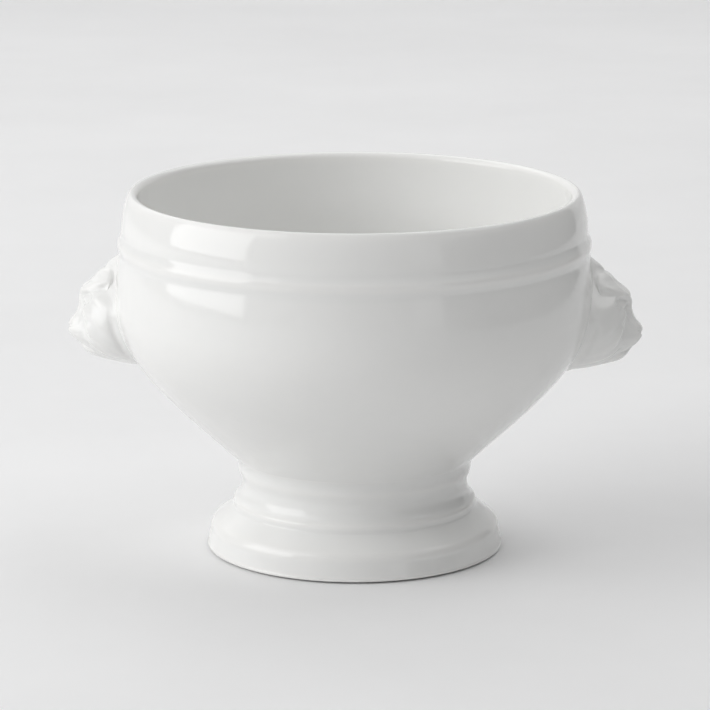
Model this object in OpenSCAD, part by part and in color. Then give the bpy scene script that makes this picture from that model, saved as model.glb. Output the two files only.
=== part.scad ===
// Footed soup bowl in white glazed porcelain, with a lion's head on each side.
// Four pieces are thrown or moulded apart and stuck together with slip before the firing:
// the bowl, the hollow foot under it and the two heads.
// The origin is the centre of the foot's standing ring, +Z is up and the heads lie along X.

/* [Bowl] */
// Height of the lip above the table
bowl_top = 92.2; // [84:0.1:105]
// Height of the bead above the table
bead_z = 80.4; // [79:0.1:83]
// Height of the soft step under the bead
bead_drop = 2.8; // [1.5:0.1:4]
// Height of the soft step over the bead
bead_rise = 4.0; // [2:0.1:5]
// Diameter of the rim band just over the bead
band_d = 118.0; // [115:0.1:121]
// How far the bead stands out from the rim band
bead_out = 1.0; // [0.5:0.1:2]
// How far the wall under the bead lies inside the bead
shoulder_in = 0.3; // [0.1:0.1:1.5]
// How far the rim leans in over the band, up to where the lip starts to round over
lip_in = 0.35; // [0:0.05:2]
// Radius of the lip on its outer side
lip_outer_round = 3.3; // [2:0.1:4.5]
// Radius of the lip on its inner side
lip_inner_round = 2.0; // [1:0.1:3]
// Diameter of the belly at its widest
belly_d = 120.4; // [116:0.1:124]
// Height of the belly's widest round above the table
belly_z = 64.3; // [60:0.1:68]
// Slope of the wall where it leaves the foot, in degrees from upright
belly_flare = 44.5; // [40:0.5:50]
// Length of the belly curve's lower handle, longer is straighter
belly_lower_pull = 16.3; // [10:0.1:24]
// Length of the belly curve's upper handle, longer is fuller
belly_upper_pull = 17.0; // [10:0.1:22]
// Thickness of the bowl's wall
wall = 5.1; // [3.5:0.1:6.5]
// Thickness of the wall at the rim band
rim_wall = 5.4; // [4:0.1:6.5]
// Thickness of the bowl's floor over the foot
floor_t = 5.0; // [3.5:0.1:8]

/* [Foot] */
// Height of the foot, from the table to the seat that carries the bowl
foot_h = 23.0; // [20:0.1:26]
// Diameter of the flat seat between foot and bowl
seat_d = 59.5; // [56:0.1:60.2]
// Diameter over the foot's base
base_d = 76.0; // [70:0.1:84]
// Radius of the base's lower edge
base_edge = 0.8; // [0.4:0.1:1.5]
// Height of the base's upright side
base_side_h = 5.0; // [4:0.1:6]
// How far the base's side leans in over that height
base_lean = 0.9; // [0:0.1:2]
// Radius of the shoulder on top of the base
base_shoulder = 3.2; // [2:0.1:4]
// Slope of the base's top, in degrees from level
base_slope = 36; // [28:0.5:44]
// Diameter of the small ring over the base
ring_d = 62.3; // [60:0.1:64]
// Height above the table where the ring's side starts to round over
ring_z = 12.4; // [12.1:0.1:13]
// Radius of the ring's rounded edge and of the corner under it
ring_edge = 0.9; // [0.4:0.1:1.0]
// Diameter of the neck at its narrowest
neck_d = 58.0; // [54:0.1:60]
// Height of the neck's narrowest round above the table
neck_z = 17.5; // [16.8:0.1:18.4]
// Diameter over the soft bead at the top of the neck
collar_d = 60.3; // [59:0.1:63]
// Height of the soft bead under the seat
collar_drop = 1.0; // [0.6:0.1:1.6]
// Thickness of the foot's wall at the neck
foot_wall = 4.7; // [3.5:0.1:6]
// Width of the flat standing ring
stand_w = 3.6; // [2.5:0.1:5]

/* [Lion head] */
// Height of the head's lower end above the table
head_z = 46.4; // [44:0.1:49]
// Length of the head, from its lower end to the peak of its mane
head_h = 30.6; // [27:0.1:31]
// Width of the head over the mane
head_w = 26.0; // [22:0.1:28]
// How far the nose stands out from the belly
nose_reach = 13.1; // [11:0.1:16]
// Thickness of the slip between head and bowl
slip_t = 0.1; // [0.05:0.01:0.3]
// How far the ears stand out to the sides
ear_out = 2.3; // [1:0.1:3.2]
// Depth of the hollow under the ears
ear_hollow = 1.5; // [0.4:0.1:2]
// Height of the brow over the eye sockets
brow_relief = 1.1; // [0.4:0.1:1.6]
// Depth of the eye sockets
socket_depth = 2.0; // [0.8:0.1:2.4]
// Height of the eyeball in its socket
eyeball_relief = 1.2; // [0.4:0.1:1.4]
// Height of the cheekbone under the eye
cheekbone_relief = 0.7; // [0.2:0.1:1.2]
// Height of the nose's pad
nose_relief = 0.2; // [0.1:0.05:0.6]
// Depth of the nostrils
nostril_depth = 0.9; // [0.2:0.1:1.2]
// Height of the whisker pads
pad_relief = 0.7; // [0.3:0.1:1.2]
// Depth of the mouth's line
mouth_depth = 1.0; // [0.3:0.1:1.2]
// Depth of the hollow between muzzle and cheek
muzzle_hollow = 1.0; // [0.3:0.1:1.4]
// Height of the ruff of hair round the face
ruff_relief = 0.8; // [0.3:0.1:1.4]
// Depth of the hollow behind the jowls
jowl_hollow = 0.5; // [0.2:0.1:1.5]
// Depth of the crease up the forehead
crease_depth = 0.5; // [0.1:0.1:0.8]
// Depth of the furrows between the locks of the mane
lock_depth = 0.5; // [0.1:0.05:0.7]
// Width of each lock of the mane, in degrees round the face
lock_turn = 20; // [12:1:36]

/* [Hidden] */
$fn = 180;

// Radii and heights that follow from the sizes above
band_r = band_d / 2;
bead_r = band_r + bead_out;
lip_r = band_r - lip_in;
belly_r = belly_d / 2;
shoulder_r = bead_r - shoulder_in;
seat_r = seat_d / 2;
crest_r = lip_r - lip_outer_round;
mouth_r = crest_r - lip_inner_round;
shoulder_z = bead_z - bead_drop;
band_z = bead_z + bead_rise;
lip_start_z = bowl_top - lip_outer_round;
floor_z = foot_h + floor_t;

// Steps along each stretch of an outline
curve_steps = 24;
step_steps = 8;
round_steps = 8;

// Point at t, from 0 to 1, on a curve from a to d whose ends pull towards b and c
function curve_at(a, b, c, d, t) =
    pow(1 - t, 3) * a + 3 * t * pow(1 - t, 2) * b + 3 * t * t * (1 - t) * c + pow(t, 3) * d;

// Points along that curve from t0 to t1
function curve_run(a, b, c, d, n, t0 = 0, t1 = 1) =
    [for (i = [0 : n]) curve_at(a, b, c, d, t0 + (t1 - t0) * i / n)];

// Points of a soft step from a to b, upright at both ends
function soft_step(a, b, n = step_steps) =
    [for (i = [0 : n]) [a.x + (b.x - a.x) * (1 - cos(180 * i / n)) / 2, a.y + (b.y - a.y) * i / n]];

// Points of a round about centre c, from angle a0 to a1
function round_run(c, r, a0, a1, n = round_steps) =
    [for (i = [0 : n]) c + r * [cos(a0 + (a1 - a0) * i / n), sin(a0 + (a1 - a0) * i / n)]];

// The belly's outer curve, from the seat to its widest round
belly_a = [seat_r, foot_h];
belly_b = belly_a + belly_lower_pull * [sin(belly_flare), cos(belly_flare)];
belly_c = [belly_r, belly_z - belly_upper_pull];
belly_d_point = [belly_r, belly_z];

// Direction of the belly's outer curve at t
function belly_way(t) =
    let (v = pow(1 - t, 2) * (belly_b - belly_a) + 2 * t * (1 - t) * (belly_c - belly_b)
             + t * t * (belly_d_point - belly_c))
    v / norm(v);

// Point of the belly's inner face, one wall inside the outer curve
function belly_inside(t) =
    let (way = belly_way(t))
    curve_at(belly_a, belly_b, belly_c, belly_d_point, t) + wall * [-way.y, way.x];

// Share of the belly curve where its inner face runs out into the floor
floor_join = 0.22;
floor_end = belly_inside(floor_join);
floor_pull = 12;

// Radius of the wall's outer face at height z, found by halving on the belly's curve
function belly_t(z, lo = 0, hi = 1, n = 26) =
    let (mid = (lo + hi) / 2)
    n == 0 ? mid
    : curve_at(belly_a, belly_b, belly_c, belly_d_point, mid).y < z ? belly_t(z, mid, hi, n - 1)
    : belly_t(z, lo, mid, n - 1);

function wall_r(z) =
    z < belly_z ? curve_at(belly_a, belly_b, belly_c, belly_d_point, belly_t(z)).x
    : belly_r - (belly_r - shoulder_r) * pow((z - belly_z) / (shoulder_z - belly_z), 2);

bowl_outline = concat(
    [[0, foot_h]],
    curve_run(belly_a, belly_b, belly_c, belly_d_point, curve_steps),
    [for (i = [1 : step_steps])
        let (z = belly_z + (shoulder_z - belly_z) * i / step_steps)
        [wall_r(z), z]],
    [for (p = soft_step([shoulder_r, shoulder_z], [bead_r, bead_z])) if (p.y > shoulder_z) p],
    [for (p = soft_step([bead_r, bead_z], [band_r, band_z])) if (p.y > bead_z) p],
    [for (p = soft_step([band_r, band_z], [lip_r, lip_start_z], 4)) if (p.y > band_z) p],
    [for (p = round_run([crest_r, lip_start_z], lip_outer_round, 0, 90)) if (p.y > lip_start_z) p],
    [for (p = round_run([crest_r, bowl_top - lip_inner_round], lip_inner_round, 90, 180))
        if (p.x < crest_r - 0.001) p],
    [for (p = soft_step([mouth_r, bowl_top - lip_inner_round], [band_r - rim_wall, band_z], 5))
        if (p.y < bowl_top - lip_inner_round) p],
    [for (p = soft_step([band_r - rim_wall, band_z], [belly_r - wall, belly_z], 10))
        if (p.y < band_z && p.y > belly_z) p],
    [for (i = [curve_steps : -1 : 0]) belly_inside(floor_join + (1 - floor_join) * i / curve_steps)],
    [for (i = [1 : round_steps])
        curve_at(floor_end, floor_end - floor_pull * belly_way(floor_join),
                 [floor_end.x / 2, floor_z], [0, floor_z], i / round_steps)]
);

module bowl() {
    color("whitesmoke") rotate_extrude() polygon(bowl_outline);
}

// The foot's outline, worked out from the table up
base_r = base_d / 2;
side_top = [base_r - base_lean, base_side_h];
shoulder_c = side_top - [base_shoulder, 0];
slope_top = shoulder_c + base_shoulder * [sin(base_slope), cos(base_slope)];
ring_r = ring_d / 2;
corner = [ring_r, slope_top.y + (slope_top.x - ring_r) * tan(base_slope)];
neck_r = neck_d / 2;
collar_r = collar_d / 2;
ring_c = [ring_r - ring_edge, ring_z];
collar_z = foot_h - collar_drop;
hollow_r = neck_r - foot_wall;
stand_in = base_r - base_edge - stand_w;

// Angle that the ring's edge rounds over before the neck's curve takes it on
ring_turn = 50;
ring_end = ring_c + ring_edge * [cos(ring_turn), sin(ring_turn)];
// Handles of the neck's curve at the ring and at the narrowest round
ring_pull = 1.3;
neck_pull = 2.4;
// The hollow's lower end: a small step up and in from the standing ring, and the flare over it
stand_step = [-0.5, 1.0];
hollow_flare = 1.6;
// Heights on the base's side where its lean is drawn, as shares of the side
side_steps = 3;

// How far the base's side has leaned in at height z
function lean_at(z) = base_lean * pow(z / base_side_h, 2);

foot_outline = concat(
    [[stand_in, 0]],
    round_run([base_r - base_edge, base_edge], base_edge, -90, 0, 5),
    [for (i = [1 : side_steps])
        let (z = base_edge + (base_side_h - base_edge) * i / side_steps)
        [base_r - lean_at(z), z]],
    [for (p = round_run(shoulder_c, base_shoulder, 0, 90 - base_slope)) if (p.y > base_side_h) p],
    curve_run(corner + ring_edge * [cos(base_slope), -sin(base_slope)], corner, corner,
              corner + [0, ring_edge], 4),
    [for (p = round_run(ring_c, ring_edge, 0, ring_turn, 4)) if (p.y > corner.y + ring_edge) p],
    curve_run(ring_end, ring_end + ring_pull * [-sin(ring_turn), cos(ring_turn)],
              [neck_r, neck_z - neck_pull], [neck_r, neck_z], 10, 0.1),
    [for (p = soft_step([neck_r, neck_z], [collar_r, collar_z])) if (p.y > neck_z) p],
    [for (i = [1 : 5])
        [seat_r + (collar_r - seat_r) * cos(18 * i), collar_z + collar_drop * sin(18 * i)]],
    [[hollow_r, foot_h]],
    curve_run([hollow_r, neck_z], [hollow_r, neck_z / 2], [stand_in - hollow_flare, neck_z / 2],
              [stand_in, 0] + stand_step, 12)
);

module foot() {
    color("whitesmoke") rotate_extrude() polygon(foot_outline);
}

// The lion's head. Each level cut through it is a rounded curve from the wall, over the face and
// back to the wall, with the muzzle as a narrower swell in its middle. The marks are smooth curves
// through a few chosen heights. Heights are shares of head_h, reaches are shares of nose_reach
// and widths are shares of half_w.
half_w = head_w / 2;

// Reach of the middle line, from the lower end over chin, nose and brow to the peak
reach_marks = [
    [0.00, -0.34], [0.06, 0.17], [0.105, 0.56], [0.19, 0.775], [0.29, 0.925], [0.355, 1.00], [0.41, 0.95],
    [0.47, 0.85], [0.54, 0.80], [0.62, 0.79], [0.71, 0.63], [0.855, 0.29], [0.955, 0.04], [1.00, -0.01]
];
// Reach of the face beside the muzzle
face_marks = [
    [0.00, -0.34], [0.06, 0.12], [0.12, 0.46], [0.20, 0.66], [0.30, 0.77], [0.38, 0.80], [0.46, 0.76],
    [0.55, 0.72], [0.63, 0.73], [0.71, 0.60], [0.855, 0.29], [0.955, 0.04], [1.00, -0.01]
];
// Half-width of the head at the wall
width_marks = [
    [0.00, 0.10], [0.05, 0.34], [0.12, 0.62], [0.20, 0.83], [0.30, 0.96], [0.42, 1.00],
    [0.52, 0.97], [0.60, 0.87], [0.67, 0.72], [0.75, 0.50], [0.84, 0.33], [0.94, 0.19], [1.00, 0.08]
];
// Half-width of the muzzle's swell
muzzle_marks = [
    [0.00, 0.28], [0.12, 0.33], [0.22, 0.42], [0.31, 0.42], [0.38, 0.34], [0.46, 0.28],
    [0.55, 0.25], [0.62, 0.34], [0.72, 0.40], [1.00, 0.30]
];
// How boxy the level's curve is: 1 is a tent, 2 is round, more is square
box_marks = [
    [0.00, 1.8], [0.15, 2.1], [0.30, 2.1], [0.45, 1.9], [0.60, 1.8], [0.74, 1.8], [0.90, 1.6], [1.00, 1.6]
];

// Slope of a table of marks at entry i
function mark_slope(m, i) =
    i == 0 || i == len(m) - 1 ? 0
    : (m[i + 1][1] - m[i - 1][1]) / (m[i + 1][0] - m[i - 1][0]);

// Value at s on the smooth curve through a table of marks
function smooth_at(m, s, i = 0) =
    s > m[i + 1][0] && i < len(m) - 2 ? smooth_at(m, s, i + 1)
    : let (w = m[i + 1][0] - m[i][0], t = (s - m[i][0]) / w)
      (2 * pow(t, 3) - 3 * t * t + 1) * m[i][1] + (pow(t, 3) - 2 * t * t + t) * w * mark_slope(m, i)
      + (3 * t * t - 2 * pow(t, 3)) * m[i + 1][1] + (pow(t, 3) - t * t) * w * mark_slope(m, i + 1);

// Places on the face and on the side as shares of the head's sizes, and half-sizes as shares of its height
function on_face(x, y) = [x * half_w, y * head_h];
function on_side(x, y) = [x * nose_reach, y * head_h];
function span(x, y) = [x, y] * head_h;

// Way from a feature's middle to p in half-sizes of the feature, turned with it
function way_in(p, at, half, turn) =
    let (o = p - at)
    [(o.x * cos(turn) + o.y * sin(turn)) / half.x, (o.y * cos(turn) - o.x * sin(turn)) / half.y];

// A soft mound: 1 at its middle, fading out on all sides
function mound(p, at, half, turn = 0) =
    let (w = way_in(p, at, half, turn))
    exp(-w * w);

// A lobe with an edge: 1 at its middle, 0 from its edge on; a lower power is fuller
function lobe(p, at, half, turn = 0, power = 1) =
    let (w = way_in(p, at, half, turn))
    pow(max(0, 1 - w * w), power);

// Height of the mouth's line at u to the side, and its depth there: it is closed in the middle
function mouth_v(u) = head_h * (0.216 - 0.276 * pow(u / half_w, 2));
function mouth_at(u, v) =
    mouth_depth * (1 - exp(-pow(u / (0.12 * half_w), 2)))
    * exp(-pow((v - mouth_v(u)) / (0.024 * head_h), 2) - pow(u / (0.46 * half_w), 6));

// Relief of the face at u to the side and v up the head, outwards in mm: brow, eye and its inner corner,
// cheekbone, nose, nostril and the grooves beside the nose, whisker pad and its groove, mouth and its
// corner, hollow beside the muzzle, ruff, forehead
function face_relief(u, v) =
    let (p = [u, v])
    brow_relief * lobe(p, on_face(0.29, 0.70), span(0.14, 0.058), 24, 1.3)
    - socket_depth * mound(p, on_face(0.34, 0.615), span(0.075, 0.045), 14)
    + eyeball_relief * lobe(p, on_face(0.335, 0.603), span(0.056, 0.038), 12)
    - 0.25 * socket_depth * mound(p, on_face(0.18, 0.575), span(0.023, 0.023))
    + cheekbone_relief * lobe(p, on_face(0.47, 0.51), span(0.11, 0.055), -28, 1.6)
    + nose_relief * lobe(p, on_face(0, 0.385), span(0.10, 0.05), 0, 1.3)
    - nostril_depth * mound(p, on_face(0.145, 0.355), span(0.032, 0.017), 28)
    - 0.5 * nostril_depth * mound(p, on_face(0.29, 0.41), span(0.02, 0.05), 14)
    - 0.5 * nostril_depth * mound(p, on_face(0.25, 0.50), span(0.026, 0.06), -12)
    + pad_relief * lobe(p, on_face(0.225, 0.295), span(0.095, 0.07), -20, 1.3)
    - 0.3 * pad_relief * mound(p, on_face(0, 0.30), span(0.016, 0.035))
    - mouth_at(u, v)
    - 0.7 * mouth_depth * mound(p, on_face(0.44, 0.216), span(0.045, 0.036), -35)
    - muzzle_hollow * mound(p, on_face(0.48, 0.36), span(0.045, 0.075), 10)
    + ruff_relief * mound(p, on_face(0.72, 0.39), span(0.06, 0.15), 6)
    - crease_depth * mound(p, on_face(0, 0.755), span(0.028, 0.075))
    + 0.8 * crease_depth * lobe(p, on_face(0.177, 0.78), span(0.065, 0.085), 10, 1.5);

// Depth of the slanting hollow under the ear, at d out from the wall and v up the head:
// steep over its upper edge, fading out below
function ear_hollow_at(d, v) =
    ear_hollow * (mound([d, v], on_side(0.27, 0.722), span(0.068, 0.026), -36)
                  + 0.4 * mound([d, v], on_side(0.24, 0.672), span(0.06, 0.045), -30));

// Push of the side there, sideways in mm: the ear, the ridge before it, the jowl's hollow and its ridge
function side_relief(d, v) =
    let (p = [d, v])
    ear_out * lobe(p, on_side(0.27, 0.765), span(0.115, 0.072), -34)
    - 0.6 * ear_hollow_at(d, v)
    + 0.2 * ear_out * mound(p, on_side(0.50, 0.64), span(0.032, 0.10), 12)
    - jowl_hollow * mound(p, on_side(0.13, 0.343), span(0.033, 0.209))
    + 0.55 * jowl_hollow * mound(p, on_side(0.382, 0.408), span(0.06, 0.163));

// The mane's locks: ridges along a fan of lines from across the nose, which curl as they run back.
// The fan's middle, where the ridges start and how soon they are full are shares of head_h
fan_at = [-0.098, 0.458];
fan_start = 0.31;
fan_fade = 0.098;
// Degrees that the ridges curl over a length of head_h
fan_curl = 153;

function lock_at(u, v) =
    let (o = [u, v] / head_h - fan_at, far = norm(o))
    0.5 * lock_depth * cos(360 * (atan2(o.y, o.x) + fan_curl * (far - fan_start)) / lock_turn)
    * min(1, max(0, (far - fan_start) / fan_fade));

// Least height of a level over the wall, and the height over which the reliefs fade in from the wall
least_rise = 0.4;
fade_rise = 0.9;

// Rows of points up the head, and columns over its face and across its back
head_rows = 56;
face_columns = 50;
back_columns = 6;

// How fast the face's relief fades towards the sides, and the share of a lock that shows on the side
front_fade = 1.2;
side_lock = 0.3;

// Point of the head's outer face: row share s, and angle a from -90 to 90 across the face
function head_point(s, a) =
    let (
        v = s * head_h,
        z = head_z + v,
        r = wall_r(z) + slip_t,
        mid = belly_r + nose_reach * smooth_at(reach_marks, s) - r,
        face = max(least_rise, belly_r + nose_reach * smooth_at(face_marks, s) - r),
        k = 2 / smooth_at(box_marks, s),
        across = half_w * smooth_at(width_marks, s) * pow(abs(sin(a)), k),
        swell = (mid - face) * exp(-pow(across / (half_w * smooth_at(muzzle_marks, s)), 4)),
        out = face * pow(abs(cos(a)), k),
        ends = 1 - pow(abs(2 * s - 1), 8),
        edge = ends * (1 - exp(-pow(out / fade_rise, 2))),
        front = ends * pow(abs(cos(a)), front_fade),
        flank = edge * pow(sin(a), 2),
        lock = edge * lock_at(across, v),
        u = across + flank * side_relief(out, v) + side_lock * lock * abs(sin(a)),
        d = out + max(0, swell) + front * face_relief(across, v) + lock * abs(cos(a))
            - flank * ear_hollow_at(out, v)
    )
    [sqrt(r * r - pow(min(u, r), 2)) + d, sign(a) * u, z];

// Point of the head's back, which follows the wall at u to the side
function seat_point(s, u) =
    let (z = head_z + s * head_h, r = wall_r(z) + slip_t)
    [sqrt(r * r - u * u), u, z];

function row_share(i) = i / head_rows;
// Over 1 gathers the columns of points towards the middle of the face
face_gather = 1.25;
function face_angle(j) =
    let (t = 2 * j / face_columns - 1)
    90 * sign(t) * pow(abs(t), face_gather);

// One row of points: the face from one side to the other, then the back between its two ends
function head_row(s) =
    let (face = [for (j = [0 : face_columns]) head_point(s, face_angle(j))], w = face[face_columns].y)
    concat(face, [for (k = [1 : back_columns - 1]) seat_point(s, w * (1 - 2 * k / back_columns))]);

row_size = face_columns + back_columns;
head_points = [for (i = [0 : head_rows]) each head_row(row_share(i))];
head_faces = concat(
    [[for (j = [0 : row_size - 1]) j]],
    [[for (j = [row_size - 1 : -1 : 0]) head_rows * row_size + j]],
    [for (i = [0 : head_rows - 1], j = [0 : row_size - 1])
        let (a = i * row_size + j, b = i * row_size + (j + 1) % row_size)
        each j < face_columns / 2
            ? [[a, a + row_size, b], [b, a + row_size, b + row_size]]
            : [[a, a + row_size, b + row_size], [a, b + row_size, b]]]
);

module lion_head() {
    color("whitesmoke") polyhedron(head_points, head_faces, convexity = 8);
}

module lion_head_left() {
    mirror([1, 0, 0]) lion_head();
}

module lion_head_right() {
    lion_head();
}

bowl();
foot();
lion_head_left();
lion_head_right();
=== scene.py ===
# A footed soup bowl in white glazed porcelain with a lion's head on each side.
# Lengths in the dictionaries are millimetres and angles degrees, unless their notes say otherwise.
# The meshes are metres, in the CAD frame.
import math
import bpy
import numpy as np
from mathutils import Matrix, Vector


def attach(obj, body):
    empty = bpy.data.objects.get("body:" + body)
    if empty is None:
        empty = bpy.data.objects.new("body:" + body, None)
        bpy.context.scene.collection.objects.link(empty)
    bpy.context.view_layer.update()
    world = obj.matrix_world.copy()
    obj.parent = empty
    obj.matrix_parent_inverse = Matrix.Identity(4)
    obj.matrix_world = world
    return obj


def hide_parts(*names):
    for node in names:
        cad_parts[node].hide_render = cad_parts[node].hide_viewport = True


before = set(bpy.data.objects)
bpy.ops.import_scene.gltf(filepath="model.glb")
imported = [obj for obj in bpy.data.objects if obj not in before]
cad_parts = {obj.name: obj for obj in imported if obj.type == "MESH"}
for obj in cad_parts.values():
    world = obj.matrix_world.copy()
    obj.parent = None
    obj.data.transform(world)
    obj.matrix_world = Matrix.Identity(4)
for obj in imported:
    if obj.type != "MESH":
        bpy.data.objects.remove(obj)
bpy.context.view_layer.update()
scene = bpy.context.scene
mm = 0.001
print("frame loaded, nodes:", sorted(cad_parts))


# An outline is made of runs, and every run is an array of (radius, height) points.

def cubicAt(t, a, b, c, d):
    # cubic from a to d that sets out towards b and comes in from c:
    # (1-t)^3 a + 3t(1-t)^2 b + 3t^2(1-t) c + t^3 d
    return (1 - t) ** 3 * a + 3 * t * (1 - t) ** 2 * b + 3 * t * t * (1 - t) * c + t ** 3 * d


def pullCurve(a, b, c, d, count, start=0.0):
    # points along that cubic, at even steps of t from start to 1
    t = np.linspace(start, 1, count)[:, None]
    return cubicAt(t, *(np.array(point, float) for point in (a, b, c, d)))


def softStep(a, b, count=16):
    # height runs evenly from a to b while the radius follows half a cosine wave
    t = np.linspace(0, 1, count)
    return np.stack([a[0] + (b[0] - a[0]) * (1 - np.cos(math.pi * t)) / 2,
                     a[1] + (b[1] - a[1]) * t], axis=1)


def roundRun(centre, radius, fromDegrees, toDegrees, count):
    # points on a circle about centre, between two angles: centre + radius (cos, sin)
    angle = np.radians(np.linspace(fromDegrees, toDegrees, count))
    return np.stack([centre[0] + radius * np.cos(angle), centre[1] + radius * np.sin(angle)], axis=1)


def joinRuns(runs, shortest=0.02):
    # runs end to end, without the points that fall on the one before
    points = np.concatenate(runs)
    step = np.hypot(*np.diff(points, axis=0).T)
    return points[np.concatenate([[True], step > shortest])]


def hollowness(outline, reach):
    # how far each point lies inside the middle of its neighbours, a distance reach to either side:
    # above 0 in a corner, below 0 on an edge
    along = np.concatenate([[0], np.cumsum(np.hypot(*np.diff(outline, axis=0).T))])
    before = np.stack([np.interp(along - reach, along, outline[:, k]) for k in (0, 1)], axis=1)
    after = np.stack([np.interp(along + reach, along, outline[:, k]) for k in (0, 1)], axis=1)
    chord = after - before
    length = np.maximum(np.hypot(*chord.T), 1e-6)[:, None]
    inward = np.stack([-chord[:, 1], chord[:, 0]], axis=1) / length
    return np.sum((outline - (before + after) / 2) * inward, axis=1)


def meshFromGrid(name, grid, closeAcross=True, closeAlong=False, tips=(), values=None):
    # grid[i, j] is point j of row i. Each row is joined to the next and each point to the next;
    # closeAlong and closeAcross join the last back to the first. A tip is one point that closes
    # the first or the last row with a fan. Values are kept on the points as attributes.
    rows, columns = grid.shape[:2]
    index = np.arange(rows * columns).reshape(rows, columns)
    thisRow = index if closeAlong else index[:-1]
    nextRow = np.roll(index, -1, axis=0) if closeAlong else index[1:]
    left = (lambda block: block) if closeAcross else (lambda block: block[:, :-1])
    right = (lambda block: np.roll(block, -1, axis=1)) if closeAcross else (lambda block: block[:, 1:])
    faces = np.stack([left(thisRow), right(thisRow), right(nextRow), left(nextRow)], axis=-1)
    faces = faces.reshape(-1, 4).tolist()
    points = [grid.reshape(-1, 3)]
    for k, (end, point) in enumerate(tips):
        ring = index[0] if end == "first" else index[-1]
        hub = np.full(columns, rows * columns + k)
        fan = [hub, np.roll(ring, -1), ring] if end == "first" else [hub, ring, np.roll(ring, -1)]
        faces += np.stack(fan, axis=-1).tolist()
        points.append(np.array([point], float))
    mesh = bpy.data.meshes.new(name)
    mesh.from_pydata(np.concatenate(points) * mm, [], faces)
    for key, value in (values or {}).items():
        layer = mesh.attributes.new(key, "FLOAT", "POINT")
        flat = np.concatenate([value.reshape(-1)] + [value.reshape(-1)[-1:]] * len(tips))
        layer.data.foreach_set("value", flat.astype(np.float32))
    mesh.polygons.foreach_set("use_smooth", np.ones(len(mesh.polygons), bool))
    mesh.update()
    piece = bpy.data.objects.new(name, mesh)
    scene.collection.objects.link(piece)
    return piece


def turned(name, outline, turns, pole=False, values=None):
    # the outline is swept round the Z axis: (r cos a, r sin a, z). With pole, its two ends lie on
    # the axis and become tips; without, the outline is a loop round a ring of clay.
    angle = np.linspace(0, 2 * math.pi, turns, endpoint=False)
    body = outline[1:-1] if pole else outline
    grid = np.stack([body[:, :1] * np.cos(angle), body[:, :1] * np.sin(angle),
                     np.repeat(body[:, 1:], turns, axis=1)], axis=-1)
    spread = {}
    for key, value in (values or {}).items():
        inner = value[1:-1] if pole else value
        spread[key] = np.repeat(inner[:, None], turns, axis=1)
    tips = [("first", (0, 0, outline[0, 1])), ("last", (0, 0, outline[-1, 1]))] if pole else []
    return meshFromGrid(name, grid, True, not pole, tips, spread)


bowlSizes = {
    "top": 92.7, "crestRadius": 56.6, "crestPull": 1.2,     # crest of the lip
    "mouthRadius": 55.0, "mouthDrop": 1.5,                  # inner edge of the lip, below the crest
    "bandRadius": 59.2, "bandPull": 4.7, "rimWall": 4.1,    # band between the lip and the bead
    "beadRadius": 60.2, "beadHeight": 79.7,
    "beadDrop": 2.5, "beadRise": 3.2,                       # height of the steps under and over the bead
    "shoulderRadius": 59.8,                                 # wall just under the bead
    "bellyRadius": 61.0, "bellyHeight": 64.3,               # widest round of the belly
    "flare": 44.5,                                          # wall at the foot, from upright
    "lowerPull": 16.3, "upperPull": 15.2,                   # how straight and how full the belly is
    "wall": 5.1, "floor": 5.0,
    "floorJoin": 0.22, "floorPull": 12.0,                   # share of the belly where the inside turns in
    "poolReach": 1.6,                                       # width of the corners that hold glaze
    "turns": 300,
}
footSizes = {
    "height": 23.0, "seatRadius": 29.75,                    # seat that carries the bowl
    "baseRadius": 38.0, "baseEdge": 0.8, "sideHeight": 5.0, "lean": 0.9, "leanPower": 1.2,
    "shoulder": 3.2, "slope": 36.0,                         # round over the side, slope above it
    "ringRadius": 31.15, "ringHeight": 12.4, "ringEdge": 0.9, "ringTurn": 50.0, "ringPull": 1.3,
    "neckRadius": 29.0, "neckHeight": 17.5, "neckPull": 2.4, "neckStart": 0.05,
    "collarRadius": 29.95, "collarDrop": 1.6, "collarPull": 0.9,
    "glazeRise": 2.1, "glazePull": 1.1,                     # glaze in the joint, up the bowl's wall
    "glazeEnd": 0.5, "glazeTuck": 0.12,                     # its end, just inside that wall
    "wall": 4.7, "standWidth": 3.6, "ringInset": 1.6,       # bare standing ring, set in from the side
    "glazeLine": 0.3, "ringLean": 0.08,                     # lower edge of the glaze, over the ring
    "lipStart": (0.12, 0.02), "lipPull": (0.3, 0.05), "lipRise": 0.2,
    "hollowFlare": 1.6, "standBevel": (0.5, 1.0),           # hollow, where it opens to the ring
    "bareTop": 0.36, "bareFade": 0.08,                      # height where the bare clay ends
    "poolReach": 1.4,
    "turns": 300,
}

# The bowl's outer wall from the seat up to the bead: one cubic to the belly's widest round, then a
# parabola that draws in to the shoulder. The glaze of the foot and the heads also follow it.
seat = np.array([footSizes["seatRadius"], footSizes["height"]])
flare = math.radians(bowlSizes["flare"])
wallWay = np.array([math.sin(flare), math.cos(flare)])
bellyTop = np.array([bowlSizes["bellyRadius"], bowlSizes["bellyHeight"]])
bellyPoints = [seat, seat + bowlSizes["lowerPull"] * wallWay,
               np.array([bowlSizes["bellyRadius"], bowlSizes["bellyHeight"] - bowlSizes["upperPull"]]),
               bellyTop]
shoulderHeight = bowlSizes["beadHeight"] - bowlSizes["beadDrop"]
bandHeight = bowlSizes["beadHeight"] + bowlSizes["beadRise"]
upright = np.linspace(bowlSizes["bellyHeight"], shoulderHeight, 24)
drawIn = ((upright - upright[0]) / (upright[-1] - upright[0])) ** 2
upperWall = np.stack([bowlSizes["bellyRadius"]
                      - (bowlSizes["bellyRadius"] - bowlSizes["shoulderRadius"]) * drawIn,
                      upright], axis=1)
wallRun = joinRuns([pullCurve(*bellyPoints, count=90), upperWall])


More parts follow.
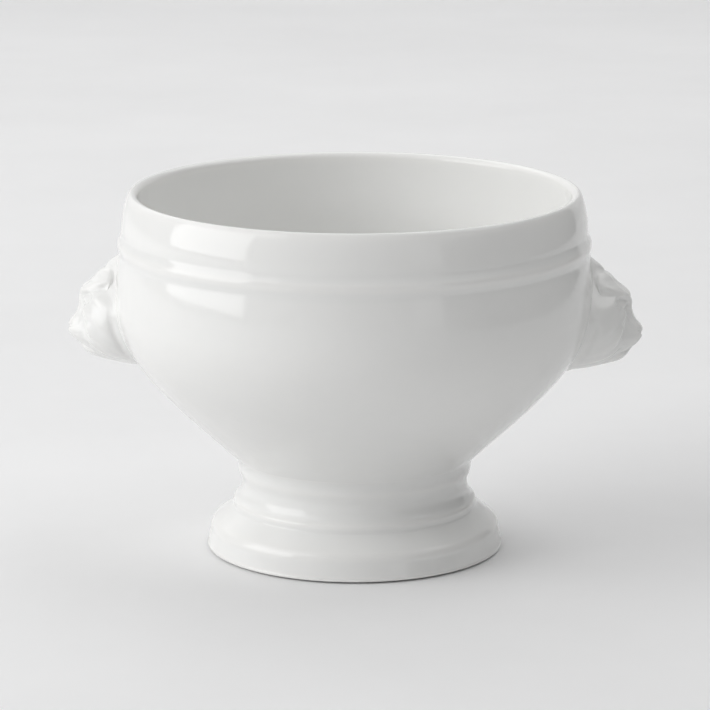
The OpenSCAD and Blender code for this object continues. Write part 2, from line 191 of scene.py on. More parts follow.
def wallRadius(height):
    # radius of the bowl's outer wall, read off the outline
    return np.interp(height, wallRun[:, 1], wallRun[:, 0])


def makeBowl(s):
    # one outline swept round: from the middle of the underside up the outer wall, over the bead,
    # the band and the lip, and down the inside to the middle of the floor
    shoulder = (s["shoulderRadius"], shoulderHeight)
    bead = (s["beadRadius"], s["beadHeight"])
    band = (s["bandRadius"], bandHeight)
    crest = (s["crestRadius"], s["top"])
    bandToCrest = pullCurve(band, (s["bandRadius"], bandHeight + s["bandPull"]),
                            (s["crestRadius"] + s["crestPull"], s["top"]), crest, count=36)
    outside = joinRuns([wallRun, softStep(shoulder, bead), softStep(bead, band), bandToCrest])
    # the lip's inner side is a quarter of an ellipse
    quarter = np.linspace(math.pi / 2, 0, 10)
    lipInside = np.stack([s["crestRadius"] - (s["crestRadius"] - s["mouthRadius"]) * np.cos(quarter),
                          s["top"] - s["mouthDrop"] * (1 - np.sin(quarter))], axis=1)
    # the inner face lies one wall inside the belly's cubic, at right angles to its direction
    t = np.linspace(1, s["floorJoin"], 70)[:, None]
    a, b, c, d = bellyPoints
    way = (1 - t) ** 2 * (b - a) + 2 * t * (1 - t) * (c - b) + t * t * (d - c)
    way = way / np.hypot(*way.T)[:, None]
    inner = cubicAt(t, a, b, c, d) + s["wall"] * np.stack([-way[:, 1], way[:, 0]], axis=1)
    mouth = (s["mouthRadius"], s["top"] - s["mouthDrop"])
    bandInside = (s["bandRadius"] - s["rimWall"], bandHeight)
    bellyInside = (s["bellyRadius"] - s["wall"], s["bellyHeight"])
    floorHeight = footSizes["height"] + s["floor"]
    floorRun = pullCurve(inner[-1], inner[-1] - s["floorPull"] * way[-1],
                         (inner[-1, 0] / 2, floorHeight), (0, floorHeight), count=30)
    inside = joinRuns([lipInside, softStep(mouth, bandInside, 10), softStep(bandInside, bellyInside),
                       inner, floorRun])
    outline = joinRuns([np.array([[0, footSizes["height"]]]), outside, inside])
    outline[-1, 0] = 0
    pool = hollowness(outline, s["poolReach"])
    bare = np.zeros(len(outline))
    return turned("bowlShell", outline, s["turns"], True, {"pool": pool, "bare": bare})


def makeFoot(s):
    # one loop swept round: the bare ring, the base's side, shoulder and slope, the small ring, the
    # neck, the collar with the glaze that fills the joint, and down the hollow back to the ring
    standOut = s["baseRadius"] - s["baseEdge"] - s["ringInset"]
    standIn = s["baseRadius"] - s["baseEdge"] - s["standWidth"]
    standRing = np.array([[standIn, 0.0], [standIn + s["standWidth"] / 2, 0.0], [standOut, 0.0],
                          [standOut + s["ringLean"], s["glazeLine"]]])
    glazeEdge = pullCurve((standOut + s["lipStart"][0], s["glazeLine"] + s["lipStart"][1]),
                          (s["baseRadius"] - s["lipPull"][0], s["glazeLine"] + s["lipPull"][1]),
                          (s["baseRadius"], s["glazeLine"] + s["lipRise"]),
                          (s["baseRadius"], s["baseEdge"]), count=12)
    # the side leans in by a power of its height
    side = np.linspace(s["baseEdge"], s["sideHeight"], 8)
    leanSide = np.stack([s["baseRadius"] - s["lean"] * (side / s["sideHeight"]) ** s["leanPower"],
                         side], axis=1)
    # the slope runs straight from the shoulder's round to the corner under the small ring
    slope = math.radians(s["slope"])
    shoulderCentre = np.array([s["baseRadius"] - s["lean"] - s["shoulder"], s["sideHeight"]])
    slopeTop = shoulderCentre + s["shoulder"] * np.array([math.sin(slope), math.cos(slope)])
    cornerHeight = slopeTop[1] + (slopeTop[0] - s["ringRadius"]) * math.tan(slope)
    corner = np.array([s["ringRadius"], cornerHeight])
    cornerRun = pullCurve(corner + s["ringEdge"] * np.array([math.cos(slope), -math.sin(slope)]),
                          corner, corner, corner + np.array([0, s["ringEdge"]]), count=9)
    ringCentre = np.array([s["ringRadius"] - s["ringEdge"], s["ringHeight"]])
    turn = math.radians(s["ringTurn"])
    ringEnd = ringCentre + s["ringEdge"] * np.array([math.cos(turn), math.sin(turn)])
    neck = (s["neckRadius"], s["neckHeight"])
    ringToNeck = pullCurve(ringEnd, ringEnd + s["ringPull"] * np.array([-math.sin(turn), math.cos(turn)]),
                           (s["neckRadius"], s["neckHeight"] - s["neckPull"]), neck,
                           count=20, start=s["neckStart"])
    # from the collar the glaze runs up on to the bowl's wall and ends just inside it
    collarHeight = s["height"] - s["collarDrop"]
    glazeTop = seat + s["glazeRise"] * wallWay
    collar = pullCurve((s["collarRadius"], collarHeight),
                       (s["collarRadius"], collarHeight + s["collarPull"]),
                       glazeTop - s["glazePull"] * wallWay, glazeTop, count=18)
    glazeEnd = glazeTop + s["glazeEnd"] * wallWay + [-s["glazeTuck"], s["glazeTuck"]]
    collar = joinRuns([collar, np.array([glazeEnd])])
    hollow = s["neckRadius"] - s["wall"]
    hollowRun = pullCurve((hollow, s["neckHeight"]), (hollow, s["neckHeight"] / 2),
                          (standIn - s["hollowFlare"], s["neckHeight"] / 2),
                          (standIn - s["standBevel"][0], s["standBevel"][1]), count=26)
    outline = joinRuns([
        standRing, glazeEdge, leanSide,
        roundRun(shoulderCentre, s["shoulder"], 0, 90 - s["slope"], count=16), cornerRun,
        roundRun(ringCentre, s["ringEdge"], 0, s["ringTurn"], count=8)[1:], ringToNeck,
        softStep(neck, (s["collarRadius"], collarHeight), 14), collar,
        np.array([[hollow, s["height"]]]), hollowRun])
    pool = hollowness(outline, s["poolReach"])
    bare = np.clip((s["bareTop"] - outline[:, 1]) / s["bareFade"], 0, 1)
    return turned("pedestalFoot", outline, s["turns"], False, {"pool": pool, "bare": bare})


bowlShell = makeBowl(bowlSizes)
pedestalFoot = makeFoot(footSizes)
print("bowl and foot turned:", len(bowlShell.data.polygons), len(pedestalFoot.data.polygons), "faces")


headSizes = {
    "base": 60.2, "low": 46.4, "height": 30.6, "width": 26.0, "noseReach": 13.1,
    # heights of the raised forms and depths of the hollows
    "earOut": 2.3, "earHollow": 1.5, "brow": 1.1, "socket": 2.0, "eyeball": 1.2, "cheekbone": 0.7,
    "nose": 0.2, "nostril": 0.9, "pad": 0.7, "muzzleHollow": 1.0, "ruff": 0.8, "jowlHollow": 0.5,
    "crease": 0.5, "earShare": 0.6,     # share of the ear's hollow that also draws the side in
    # mouth: depth, height of its line and its drop to the sides, its width and the nose's groove
    "mouth": 1.0, "mouthUp": 0.216, "mouthDrop": 0.276, "mouthLine": 0.024, "mouthWide": 0.46,
    "mouthGap": 0.12,
    # mane: depth, degrees between locks, where their fan starts, and how far they curl
    "lockDepth": 0.5, "lockTurn": 20.0, "fanAcross": -0.098, "fanUp": 0.458, "fanStart": 0.31,
    "fanFade": 0.098, "lockCurl": 153.0, "lockSide": 0.3,
    # join to the wall: radius of the slip's round, and how far the edges sink in
    "joint": 1.3, "sink": 0.3, "tuck": 1.0, "tuckPower": 30, "backDepth": 1.2,
    "leastRise": 0.1, "fadeRise": 0.9, "endPower": 8, "frontPower": 1.2, "swellPower": 4,
    "rows": 240, "columns": 220, "columnEase": 1.35, "poolSteps": 6,
}
# Pairs of (share of the head's height, share of the reach or the half-width), joined by smooth curves.
# reach: the face's middle line. face: the line beside the muzzle. width: the whole head.
# muzzle: where the middle swells out. box: how square the head is across, 2 is an ellipse.
headMarks = {
    "reach": [(0.00, -0.34), (0.06, 0.17), (0.105, 0.56), (0.19, 0.775), (0.29, 0.925), (0.355, 1.00),
              (0.41, 0.95), (0.47, 0.85), (0.54, 0.80), (0.62, 0.79), (0.71, 0.63), (0.855, 0.29),
              (0.955, 0.04), (1.00, -0.01)],
    "face": [(0.00, -0.34), (0.06, 0.12), (0.12, 0.46), (0.20, 0.66), (0.30, 0.77), (0.38, 0.80),
             (0.46, 0.76), (0.55, 0.72), (0.63, 0.73), (0.71, 0.60), (0.855, 0.29), (0.955, 0.04),
             (1.00, -0.01)],
    "width": [(0.00, 0.10), (0.05, 0.34), (0.12, 0.62), (0.20, 0.83), (0.30, 0.96), (0.42, 1.00),
              (0.52, 0.97), (0.60, 0.87), (0.67, 0.72), (0.75, 0.50), (0.84, 0.33), (0.94, 0.19),
              (1.00, 0.08)],
    "muzzle": [(0.00, 0.28), (0.12, 0.33), (0.22, 0.42), (0.31, 0.42), (0.38, 0.34), (0.46, 0.28),
               (0.55, 0.25), (0.62, 0.34), (0.72, 0.40), (1.00, 0.30)],
    "box": [(0.00, 1.8), (0.15, 2.1), (0.30, 2.1), (0.45, 1.9), (0.60, 1.8), (0.74, 1.8), (0.90, 1.6),
            (1.00, 1.6)],
}


def smoothAt(marks, s):
    # smooth curve through the marks: cubics whose slope at a mark is that between its neighbours
    x, y = np.array(marks).T
    slope = np.zeros(len(x))
    slope[1:-1] = (y[2:] - y[:-2]) / (x[2:] - x[:-2])
    i = np.clip(np.searchsorted(x, s) - 1, 0, len(x) - 2)
    w = x[i + 1] - x[i]
    t = (s - x[i]) / w
    return ((2 * t ** 3 - 3 * t ** 2 + 1) * y[i] + (t ** 3 - 2 * t ** 2 + t) * w * slope[i]
            + (3 * t ** 2 - 2 * t ** 3) * y[i + 1] + (t ** 3 - t ** 2) * w * slope[i + 1])


def wayIn(x, y, at, half, turn):
    # square of the way from a form's middle, in half-sizes of the form, turned with it
    c, n = math.cos(math.radians(turn)), math.sin(math.radians(turn))
    alongIt = ((x - at[0]) * c + (y - at[1]) * n) / half[0]
    acrossIt = ((y - at[1]) * c - (x - at[0]) * n) / half[1]
    return alongIt ** 2 + acrossIt ** 2


def mound(x, y, at, half, turn=0):
    # exp(-way in): 1 at its middle, fading out on all sides
    return np.exp(-wayIn(x, y, at, half, turn))


def lobe(x, y, at, half, turn=0, power=1):
    # (1 - way in) to a power: 1 at its middle, 0 from its edge on
    return np.clip(1 - wayIn(x, y, at, half, turn), 0, 1) ** power


# Each form is: the size that gives its height, a share of it, mound or lobe, its middle across and up,
# its two half-sizes, its turn, and for a lobe its power. Up and the half-sizes are shares of the head's
# height. Across is a share of the half-width on the face, and of the reach on the side and the ear.
faceForms = [
    ("brow", 1.0, lobe, 0.29, 0.70, 0.14, 0.058, 24, 1.3),
    ("socket", -1.0, mound, 0.34, 0.615, 0.075, 0.045, 14),
    ("eyeball", 1.0, lobe, 0.335, 0.603, 0.066, 0.046, 12, 1.7),
    ("socket", -0.25, mound, 0.18, 0.575, 0.023, 0.023),            # corner of the eye
    ("cheekbone", 1.0, lobe, 0.47, 0.51, 0.11, 0.055, -28, 1.6),
    ("nose", 1.0, lobe, 0, 0.385, 0.10, 0.05, 0, 1.3),
    ("nostril", -1.0, mound, 0.145, 0.355, 0.032, 0.017, 28),
    ("nostril", -0.5, mound, 0.29, 0.41, 0.02, 0.05, 14),           # groove beside the nose
    ("nostril", -0.5, mound, 0.25, 0.50, 0.026, 0.06, -12),         # and up its bridge
    ("pad", 1.0, lobe, 0.225, 0.295, 0.095, 0.07, -20, 1.3),
    ("pad", -0.3, mound, 0, 0.30, 0.016, 0.035),                    # cleft of the upper lip
    ("mouth", -0.7, mound, 0.44, 0.216, 0.045, 0.036, -35),         # corner of the mouth
    ("muzzleHollow", -1.0, mound, 0.48, 0.36, 0.045, 0.075, 10),
    ("ruff", 1.0, mound, 0.72, 0.39, 0.06, 0.15, 6),
    ("crease", -1.0, mound, 0, 0.755, 0.028, 0.075),
    ("crease", 0.8, lobe, 0.177, 0.78, 0.065, 0.085, 10, 1.5),      # forehead beside the crease
]
earForms = [
    ("earHollow", 1.0, mound, 0.27, 0.722, 0.068, 0.026, -36),
    ("earHollow", 0.4, mound, 0.24, 0.672, 0.06, 0.045, -30),
]
sideForms = [
    ("earOut", 1.0, lobe, 0.27, 0.765, 0.115, 0.072, -34, 1.0),
    ("earOut", 0.2, mound, 0.50, 0.64, 0.032, 0.10, 12),            # ridge in front of the ear
    ("jowlHollow", -1.0, mound, 0.13, 0.343, 0.033, 0.209),
    ("jowlHollow", 0.55, mound, 0.382, 0.408, 0.06, 0.163),         # jowl in front of its hollow
]


def sumForms(forms, s, x, y, across):
    # the forms added up, at x to the side and y up the head
    height = s["height"]
    return sum(share * s[size] * form(x, y, (atX * across, atY * height),
                                      (halfX * height, halfY * height), *rest)
               for size, share, form, atX, atY, halfX, halfY, *rest in forms)


def faceRelief(s, u, v):
    # relief of the face at u to the side and v up the head: its forms, less the mouth's line, which
    # drops with the square of u and fades out at its ends and under the nose
    halfWidth, height = s["width"] / 2, s["height"]
    mouthLine = height * (s["mouthUp"] - s["mouthDrop"] * (u / halfWidth) ** 2)
    mouth = (s["mouth"] * (1 - np.exp(-(u / (s["mouthGap"] * halfWidth)) ** 2))
             * np.exp(-((v - mouthLine) / (s["mouthLine"] * height)) ** 2
                      - (u / (s["mouthWide"] * halfWidth)) ** 6))
    return sumForms(faceForms, s, u, v, halfWidth) - mouth


def earHollowAt(s, d, v):
    # a slanting hollow, at d out from the wall, that is steep at its upper edge and fades out below
    return sumForms(earForms, s, d, v, s["noseReach"])


def sideRelief(s, d, v):
    # push of the side at d out from the wall and v up the head: ear, the ridge before it, jowl
    return sumForms(sideForms, s, d, v, s["noseReach"]) - s["earShare"] * earHollowAt(s, d, v)


def lockAt(s, u, v):
    # the mane's locks: waves along a fan of lines from across the nose, which curl as they run back
    x, y = u / s["height"] - s["fanAcross"], v / s["height"] - s["fanUp"]
    far = np.hypot(x, y)
    turn = np.degrees(np.arctan2(y, x)) + s["lockCurl"] * (far - s["fanStart"])
    wave = np.cos(2 * math.pi * turn / s["lockTurn"])
    return 0.5 * s["lockDepth"] * wave * np.clip((far - s["fanStart"]) / s["fanFade"], 0, 1)


def boxBlur(values, reach):
    # average of the points up to reach steps away, along the columns and then along the rows
    for axis in (0, 1):
        wide = np.pad(values, [(reach, reach) if k == axis else (0, 0) for k in (0, 1)], mode="edge")
        blurred = sum(np.roll(wide, k, axis=axis) for k in range(-reach, reach + 1)) / (2 * reach + 1)
        values = blurred[reach:-reach, :] if axis == 0 else blurred[:, reach:-reach]
    return values


def makeHead(name, s, facing):
    # Rows climb the head. Across a row the angle a goes from one side (-90) over the face (0) to the
    # other side (90), along a squared ellipse: u = width sin(a)^p and d = reach cos(a)^p out from the
    # bowl's wall. The muzzle swells the middle, and the reliefs are added to u and d.
    share = np.linspace(0, 1, s["rows"])[:, None]
    turnShare = np.linspace(-1, 1, s["columns"])[None, :]
    a = np.sign(turnShare) * (1 - (1 - np.abs(turnShare)) ** s["columnEase"]) * math.pi / 2
    v = share * s["height"]
    z = s["low"] + v
    wallR = wallRadius(z)
    halfWidth = s["width"] / 2
    middle = s["base"] + s["noseReach"] * smoothAt(headMarks["reach"], share) - wallR
    face = s["base"] + s["noseReach"] * smoothAt(headMarks["face"], share) - wallR
    face = np.maximum(s["leastRise"], face)
    power = 2 / smoothAt(headMarks["box"], share)
    sine, cosine = np.abs(np.sin(a)), np.maximum(np.cos(a), 0)
    across = halfWidth * smoothAt(headMarks["width"], share) * sine ** power
    muzzle = halfWidth * smoothAt(headMarks["muzzle"], share)
    swell = (middle - face) * np.exp(-(across / muzzle) ** s["swellPower"])
    out = face * cosine ** power
    # masks: nothing at the two ends, the front for the face, the flank for the sides
    fromMiddle = np.abs(2 * share - 1)
    ends = 1 - fromMiddle ** s["endPower"]
    edge = ends * (1 - np.exp(-(out / s["fadeRise"]) ** 2))
    front = ends * cosine ** s["frontPower"]
    flank = edge * sine ** 2
    lock = edge * lockAt(s, across, v)
    u = across + flank * sideRelief(s, out, v) + s["lockSide"] * lock * sine
    d = (out + np.maximum(0, swell) + front * faceRelief(s, across, v) + lock * cosine
         - flank * earHollowAt(s, out, v))
    # near the wall the side flares out on a quarter circle of slip that meets the wall level
    low = np.clip(s["joint"] - d, 0, s["joint"])
    u = u + (s["joint"] - np.sqrt(s["joint"] ** 2 - low ** 2)) * sine
    d = d - s["sink"] * (low / s["joint"]) ** 2 - s["tuck"] * fromMiddle ** s["tuckPower"]
    radius = np.sqrt(wallR ** 2 - np.minimum(u, wallR) ** 2) + d
    grid = np.stack([radius, np.sign(a) * u, z + 0 * a], axis=-1)
    # one more column closes the back, inside the bowl's wall
    back = np.stack([wallR[:, 0] - s["backDepth"], np.zeros(s["rows"]), z[:, 0]], axis=-1)
    grid = np.concatenate([grid, back[:, None, :]], axis=1)
    # glaze pools where the face lies below its own average
    pool = np.concatenate([boxBlur(d, s["poolSteps"]) - d, np.zeros((s["rows"], 1))], axis=1)
    if facing < 0:
        grid = grid[:, ::-1] * np.array([-1, 1, 1])
        pool = pool[:, ::-1]
    tips = [("first", grid[0].mean(axis=0)), ("last", grid[-1].mean(axis=0))]
    return meshFromGrid(name, grid, True, False, tips, {"pool": pool, "bare": 0 * pool})


headRight = makeHead("lionHeadRight", headSizes, 1)
headLeft = makeHead("lionHeadLeft", headSizes, -1)
print("heads modelled:", len(headRight.data.polygons), "faces each")


def newGroup(name, inputs, outputs):
    # an empty shader node group with named number inputs and outputs
    group = bpy.data.node_groups.new(name, "ShaderNodeTree")
    for label, value in inputs:
        socket = group.interface.new_socket(name=label, in_out="INPUT", socket_type="NodeSocketFloat")
        socket.default_value = value
    for label in outputs:
        group.interface.new_socket(name=label, in_out="OUTPUT", socket_type="NodeSocketFloat")
    return group, group.nodes.new("NodeGroupInput"), group.nodes.new("NodeGroupOutput")


def objectPlace(tree):
    # each point's place on its own object, in metres
    return tree.nodes.new("ShaderNodeTexCoord").outputs["Object"]


def addNoise(tree, place, size, detail, roughness=0.5):
    # noise whose features are about size millimetres wide
    node = tree.nodes.new("ShaderNodeTexNoise")
    node.inputs["Scale"].default_value = 1 / (size * mm)
    node.inputs["Detail"].default_value = detail
    node.inputs["Roughness"].default_value = roughness
    tree.links.new(place, node.inputs["Vector"])
    return node.outputs["Fac"]


def addAttribute(tree, name):
    # a value that the mesh keeps on its points
    node = tree.nodes.new("ShaderNodeAttribute")
    node.attribute_name = name
    return node.outputs["Fac"]


def setSocket(tree, socket, value):
    # a number or a colour is set on the socket, anything else is linked to it
    if isinstance(value, (int, float)):
        socket.default_value = value
    elif isinstance(value, tuple):
        socket.default_value = (*value, 1)
    else:
        tree.links.new(value, socket)


def addMath(tree, operation, first, second, clamp=False):
    # first and second joined by one operation, clamped to 0..1 if asked
    node = tree.nodes.new("ShaderNodeMath")
    node.operation = operation
    node.use_clamp = clamp
    setSocket(tree, node.inputs[0], first)
    setSocket(tree, node.inputs[1], second)
    return node.outputs[0]


def addRange(tree, value, fromLow, fromHigh, toLow, toHigh):
    # value carried evenly from one range to another and held at its ends
    node = tree.nodes.new("ShaderNodeMapRange")
    for label, number in (("From Min", fromLow), ("From Max", fromHigh),
                          ("To Min", toLow), ("To Max", toHigh)):
        node.inputs[label].default_value = number
    tree.links.new(value, node.inputs["Value"])
    return node.outputs[0]


def addMix(tree, factor, first, second):
    # colour between first, at factor 0, and second, at 1
    node = tree.nodes.new("ShaderNodeMix")
    node.data_type = "RGBA"
    for label, value in (("Factor", factor), ("A", first), ("B", second)):
        setSocket(tree, [k for k in node.inputs if k.name == label and k.enabled][0], value)
    return [k for k in node.outputs if k.enabled][0]


# The glaze's skin. Each noise is (size in millimetres, detail, share of the sum).
skinLook = {
    "cloudSlow": (28, 3, 0.65), "cloudFine": (6, 4, 0.35),
    "ripple": (3, 2, 0.25),                                 # breaks up the edges of the pools
    "peelSlow": (9, 2, 1.6), "peelFine": (1.4, 2, 0.12),
    "pinholeSpacing": 7, "pinholeSize": (0.012, 0.03), "pinholeDepth": 0.5,
}


def makeGlazeSkin(s):
    # Cloud: slow changes of the glaze's depth. Pool: where it gathers in corners and hollows.
    # Thin: where it runs off the edges. Skin: the height of its faint orange peel and pinholes.
    group, entry, leave = newGroup("glazeSkin", [("Pool Depth", 0.35), ("Peel", 1.0)],
                                   ["Cloud", "Pool", "Thin", "Skin"])
    place = objectPlace(group)

    def noisePart(key, less=0.0):
        # one noise of the look, less a number, times its share
        size, detail, share = s[key]
        noise = addNoise(group, place, size, detail)
        if less:
            noise = addMath(group, "SUBTRACT", noise, less)
        return addMath(group, "MULTIPLY", noise, share)

    cloud = addMath(group, "ADD", noisePart("cloudSlow"), noisePart("cloudFine"))
    depth = addMath(group, "DIVIDE", addAttribute(group, "pool"), entry.outputs["Pool Depth"])
    rippled = (depth, noisePart("ripple", 0.5))
    pool = addMath(group, "ADD", *rippled, True)
    thin = addMath(group, "MULTIPLY", addMath(group, "ADD", *rippled), -1.0, True)
    cells = group.nodes.new("ShaderNodeTexVoronoi")
    cells.inputs["Scale"].default_value = 1 / (s["pinholeSpacing"] * mm)
    group.links.new(place, cells.inputs["Vector"])
    hole = addRange(group, cells.outputs["Distance"], *s["pinholeSize"], -s["pinholeDepth"], 0.0)
    peel = addMath(group, "ADD", noisePart("peelSlow"), noisePart("peelFine"))
    skin = addMath(group, "MULTIPLY", addMath(group, "ADD", peel, hole), entry.outputs["Peel"])
    for label, value in (("Cloud", cloud), ("Pool", pool), ("Thin", thin), ("Skin", skin)):
        group.links.new(value, leave.inputs[label])
    return group


glazeLook = {
    "thick": (0.835, 0.838, 0.826),                         # colour where the glaze lies deep
    "thinner": (0.872, 0.870, 0.856),                       # where it is drawn thin
    "edge": (0.885, 0.880, 0.862),                          # and where it runs off an edge
    "poolDepth": 0.22, "poolShare": 0.6, "edgeShare": 0.5,
    "smooth": 0.055, "dull": 0.10, "edgeDull": 0.04,        # roughness, deep and thin, and at edges
    "cloudRange": (0.3, 0.7), "peelHeight": 0.00003,        # peel in metres
    "ior": 1.52,
    # bare clay of the standing ring and the grit in it, both darker than fresh porcelain: painted shade for
    # the dark line where the foot meets the table
    "biscuitAndContactShade": (0.50, 0.48, 0.45), "biscuitGritAndContactShade": (0.40, 0.38, 0.35), "biscuitRough": 0.72,
    "gritSize": 0.35, "gritRange": (0.35, 0.7), "gritHeight": 1.5,
    "raggedSize": 1.1, "raggedShare": 0.6, "bareRange": (0.45, 0.6),
}


def makeWhiteGlaze(name, s, peel, softer):
    # white glaze over porcelain, bare where the piece says so; the bare clay is painted dark, as painted
    # shade under the foot. Peel scales its unevenness, and softer is added to its roughness.
    material = bpy.data.materials.new(name)
    material.use_nodes = True
    tree = material.node_tree
    tree.nodes.clear()
    finish = tree.nodes.new("ShaderNodeOutputMaterial")
    shader = tree.nodes.new("ShaderNodeBsdfPrincipled")
    tree.links.new(shader.outputs[0], finish.inputs["Surface"])
    skin = tree.nodes.new("ShaderNodeGroup")
    skin.node_tree = glazeSkin
    skin.inputs["Pool Depth"].default_value = s["poolDepth"]
    skin.inputs["Peel"].default_value = peel
    place = objectPlace(tree)
    base = addMix(tree, skin.outputs["Cloud"], s["thinner"], s["thick"])
    base = addMix(tree, addMath(tree, "MULTIPLY", skin.outputs["Pool"], s["poolShare"]), base, s["thick"])
    base = addMix(tree, addMath(tree, "MULTIPLY", skin.outputs["Thin"], s["edgeShare"]), base, s["edge"])
    # the glaze ends in a slightly ragged line
    wander = addMath(tree, "SUBTRACT", addNoise(tree, place, s["raggedSize"], detail=3), 0.5)
    ragged = addMath(tree, "MULTIPLY", wander, s["raggedShare"])
    bareAt = addMath(tree, "ADD", addAttribute(tree, "bare"), ragged)
    bare = addRange(tree, bareAt, *s["bareRange"], 0.0, 1.0)
    grit = addNoise(tree, place, s["gritSize"], detail=4, roughness=0.65)
    gritty = addRange(tree, grit, *s["gritRange"], 0.0, 1.0)
    # bare clay with its grit, toned darker than fresh porcelain: painted shade for the contact line under
    # the foot
    biscuitAndContactShade = addMix(tree, gritty, s["biscuitAndContactShade"], s["biscuitGritAndContactShade"])
    tree.links.new(addMix(tree, bare, base, biscuitAndContactShade), shader.inputs["Base Color"])
    # roughness: from smooth to dull with the cloud, duller on edges, rough where bare
    clouded = addRange(tree, skin.outputs["Cloud"], *s["cloudRange"], s["smooth"], s["dull"])
    worn = addMath(tree, "ADD", addMath(tree, "MULTIPLY", skin.outputs["Thin"], s["edgeDull"]), softer)
    gloss = addMath(tree, "ADD", clouded, worn)
    glazed = addMath(tree, "MULTIPLY", gloss, addMath(tree, "SUBTRACT", 1.0, bare))
    rough = addMath(tree, "MULTIPLY", bare, s["biscuitRough"])
    tree.links.new(addMath(tree, "ADD", glazed, rough), shader.inputs["Roughness"])
    shader.inputs["IOR"].default_value = s["ior"]
    bump = tree.nodes.new("ShaderNodeBump")
    bump.inputs["Strength"].default_value = 1.0
    bump.inputs["Distance"].default_value = s["peelHeight"]
    bareGrit = addMath(tree, "MULTIPLY", addMath(tree, "MULTIPLY", grit, bare), s["gritHeight"])
    tree.links.new(addMath(tree, "ADD", skin.outputs["Skin"], bareGrit), bump.inputs["Height"])
    tree.links.new(bump.outputs["Normal"], shader.inputs["Normal"])
    return material


glazeSkin = makeGlazeSkin(skinLook)
turnedGlaze = makeWhiteGlaze("turnedGlaze", glazeLook, 1.0, 0.0)
headGlaze = makeWhiteGlaze("headGlaze", glazeLook, 0.6, 0.11)
for piece, node, material in ((bowlShell, "bowl", turnedGlaze),
                              (pedestalFoot, "foot", turnedGlaze),
                              (headRight, "lion_head_right", headGlaze),
                              (headLeft, "lion_head_left", headGlaze)):
    piece.data.materials.append(material)
    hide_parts(node)
    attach(piece, "root")
print("finishes laid on")


tableLook = {
    "wide": 5200.0, "front": 1800.0, "horizon": 1150.0, "top": 2400.0,
    "bend": [(4.0, 0.6), (8.0, 6.0)],                       # points past the horizon, back and up
    "dark": (0.842, 0.842, 0.844), "pale": (0.882, 0.882, 0.884),
    "cloudSize": 160, "cloudRange": (0.3, 0.7), "rough": 0.6, "shine": 0.1,
}
cardLook = {"azimuth": 92.0, "away": 550.0, "wide": 1200.0, "tall": 330.0, "tone": (0.04, 0.04, 0.04)}
# Soft panels: azimuth is turned to the right from the view's far side, and level is the panel's own
# brightness. One with low stands upright, its lower edge at that height, and the others are raised to
# their elevation. Without shine a panel leaves no highlight, and without light it is only a highlight.
softPanels = {
    "keyPanel": {"azimuth": -106, "away": 1150, "low": 325, "wide": 970, "tall": 467,
                 "level": 4.9, "shine": False},
    "keyTop": {"azimuth": -106, "away": 1150, "low": 792, "wide": 1600, "tall": 800, "level": 1.1},
    "keyShine": {"azimuth": -106, "away": 640, "low": 60, "wide": 540, "tall": 417,
                 "level": 2.25, "light": False},
    "frontPanel": {"azimuth": -155, "away": 1000, "low": 2, "wide": 800, "tall": 800, "level": 0.06},
    "fillPanel": {"azimuth": 138, "away": 1300, "low": 2, "wide": 700, "tall": 600, "level": 0.35},
    "leftPanel": {"azimuth": -50, "away": 1400, "elevation": 35, "wide": 900, "tall": 900, "level": 0.4},
    "backPanel": {"azimuth": 0, "away": 1400, "elevation": 50, "wide": 1800, "tall": 900, "level": 0.76},
    "rightPanel": {"azimuth": 80, "away": 1400, "elevation": 60, "wide": 1000, "tall": 1000, "level": 1.08},
}
worldLevel = 0.42
panelAim = 50.0     # height that the raised panels point at
viewSetup = {"away": 900.0, "height": 259.98, "yaw": 2.8, "lens": 182.98, "sensor": 36.0,
             "pitch": 0.2294, "shift": 0.4 / 710}     # pitch in radians, shift in picture widths


def makeTable(s):
    # a level table that turns up into a backdrop: one line of points, carried straight across
    bend = [(s["horizon"] + y, z) for y, z in s["bend"]]
    run = [(-s["front"], 0.0), (0.0, 0.0), (s["horizon"], 0.0), *bend, (bend[-1][0], s["top"])]
    across = np.linspace(-s["wide"] / 2, s["wide"] / 2, 5)
    grid = np.array([[(x, y, z) for x in across] for y, z in run])
    table = meshFromGrid("tableAndWall", grid, closeAcross=False)
    table.data.polygons.foreach_set("use_smooth", np.zeros(len(table.data.polygons), bool))
    return table


def makeTableMaterial(s):
    # pale painted board with broad, faint clouds
    material = bpy.data.materials.new("paleTable")
    material.use_nodes = True
    tree = material.node_tree
    shader = tree.nodes["Principled BSDF"]
    cloud = addNoise(tree, objectPlace(tree), s["cloudSize"], 5, 0.6)
    pale = addRange(tree, cloud, *s["cloudRange"], 0.0, 1.0)
    tree.links.new(addMix(tree, pale, s["dark"], s["pale"]), shader.inputs["Base Color"])
    shader.inputs["Roughness"].default_value = s["rough"]
    shader.inputs["Specular IOR Level"].default_value = s["shine"]
    return material


floor = makeTable(tableLook)
floor.data.materials.append(makeTableMaterial(tableLook))


def viewDirection(azimuth):
    # level direction at an azimuth from the view's far side, turned to the right
    turn = math.radians(azimuth - viewSetup["yaw"])
    return Vector((math.sin(turn), math.cos(turn), 0))


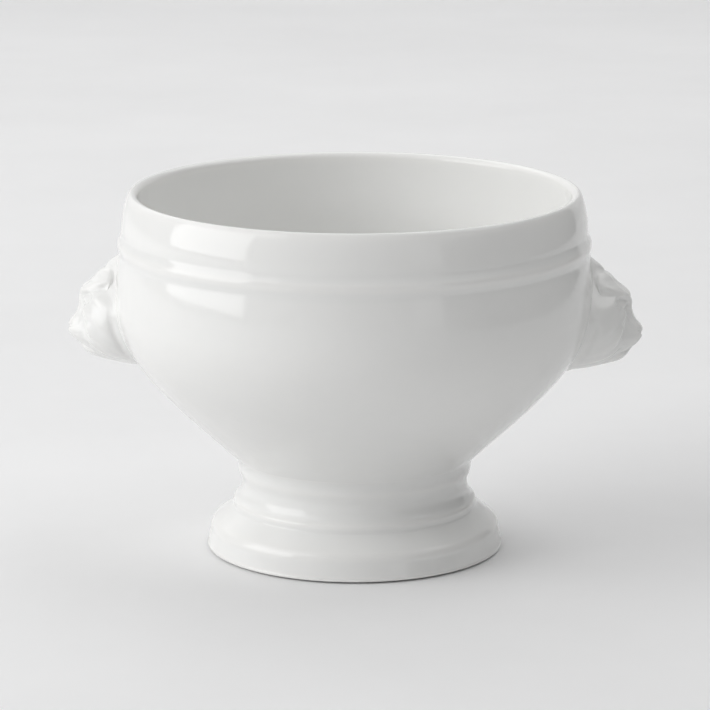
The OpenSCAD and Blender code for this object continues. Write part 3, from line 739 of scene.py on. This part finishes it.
def addPanel(name, p):
    # an area lamp that faces the bowl's axis; its power is level x pi x area
    rise = math.radians(p.get("elevation", 0))
    aim = Vector((0, 0, p["low"] + p["tall"] / 2 if "low" in p else panelAim)) * mm
    outward = viewDirection(p["azimuth"]) * math.cos(rise) + Vector((0, 0, math.sin(rise)))
    place = aim + outward * p["away"] * mm
    lamp = bpy.data.lights.new(name, "AREA")
    lamp.shape = "RECTANGLE"
    lamp.size, lamp.size_y = p["wide"] * mm, p["tall"] * mm
    lamp.energy = p["level"] * math.pi * lamp.size * lamp.size_y
    piece = bpy.data.objects.new(name, lamp)
    scene.collection.objects.link(piece)
    facing = (aim - place).to_track_quat("-Z", "Y").to_matrix().to_4x4()
    piece.matrix_world = Matrix.Translation(place) @ facing
    piece.visible_camera = False
    piece.visible_diffuse = p.get("light", True)
    piece.visible_glossy = p.get("shine", True)


for name, values in softPanels.items():
    addPanel(name, values)


def addDarkCard(s):
    # an upright dark card right of the bowl, out of view, that shades this side and shows in the glaze
    outward = np.array(viewDirection(s["azimuth"]))
    middle = outward * s["away"]
    along = np.array([outward[1], -outward[0], 0]) * s["wide"] / 2
    up = np.array([0, 0, s["tall"]])
    grid = np.array([[middle - along, middle + along], [middle - along + up, middle + along + up]])
    card = meshFromGrid("darkCard", grid, closeAcross=False)
    material = bpy.data.materials.new("darkFelt")
    material.use_nodes = True
    shader = material.node_tree.nodes["Principled BSDF"]
    shader.inputs["Base Color"].default_value = (*s["tone"], 1)
    shader.inputs["Roughness"].default_value = 1.0
    card.data.materials.append(material)
    card.visible_camera = False


addDarkCard(cardLook)

world = scene.world or bpy.data.worlds.new("studio")
scene.world = world
world.use_nodes = True
background = world.node_tree.nodes["Background"]
background.inputs["Color"].default_value = (1, 1, 1, 1)
background.inputs["Strength"].default_value = worldLevel

cameraData = bpy.data.cameras.new("photoView")
cameraData.lens = viewSetup["lens"]
cameraData.sensor_width = viewSetup["sensor"]
cameraData.clip_start = 0.01
cameraData.shift_x = viewSetup["shift"]
camera = bpy.data.objects.new("photoView", cameraData)
scene.collection.objects.link(camera)
yaw = math.radians(viewSetup["yaw"])
camera.location = Vector((math.sin(yaw) * viewSetup["away"], -math.cos(yaw) * viewSetup["away"],
                          viewSetup["height"])) * mm
camera.rotation_euler = (math.pi / 2 - viewSetup["pitch"], 0, yaw)
scene.camera = camera
scene.view_settings.view_transform = "Standard"
print("stage set")
